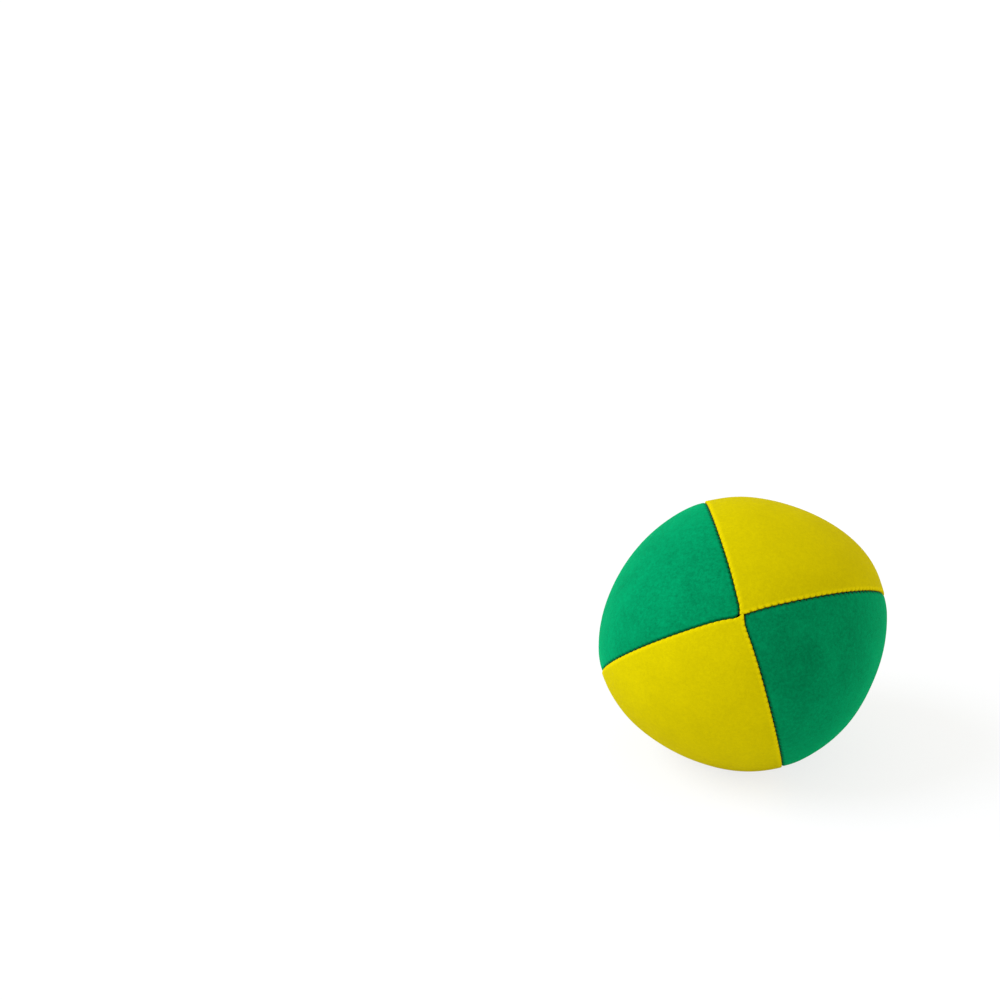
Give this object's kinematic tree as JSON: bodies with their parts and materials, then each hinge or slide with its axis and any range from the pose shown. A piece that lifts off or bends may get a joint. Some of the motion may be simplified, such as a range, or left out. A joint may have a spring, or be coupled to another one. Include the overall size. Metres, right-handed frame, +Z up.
{
  "type": "juggling beanbag",
  "caption": "Round soft beanbag for juggling, sewn from curved suede panels that meet at both poles and filled with grain, lying slightly flattened on one panel.",
  "frame": {"origin": "on the floor, under the middle of the bag's bounding box", "axes": "+Z up; -Y is the side of the pole that shows, where the four panels meet at the front"},
  "size_m": [0.0672, 0.0654, 0.0615],
  "materials": {
    "yellow_suede": "brushed microfibre suede, matt with a soft sheen",
    "green_suede": "brushed microfibre suede, matt with a soft sheen",
    "sewing_thread": "twisted polyester sewing thread, dark",
    "millet_grain": "dry hulled millet, smooth and slightly glossy"
  },
  "bodies": {
    "root": {"yellow_panel_top": "yellow_suede", "green_panel_left": "green_suede", "yellow_panel_bottom": "yellow_suede", "green_panel_right": "green_suede", "ring_seam_needle_thread": "sewing_thread", "ring_seam_bobbin_thread": "sewing_thread", "upper_seam_needle_thread": "sewing_thread", "upper_seam_bobbin_thread": "sewing_thread", "lower_seam_needle_thread": "sewing_thread", "lower_seam_bobbin_thread": "sewing_thread", "closing_thread": "sewing_thread", "millet_fill": "millet_grain"}
  },
  "joints": []
}
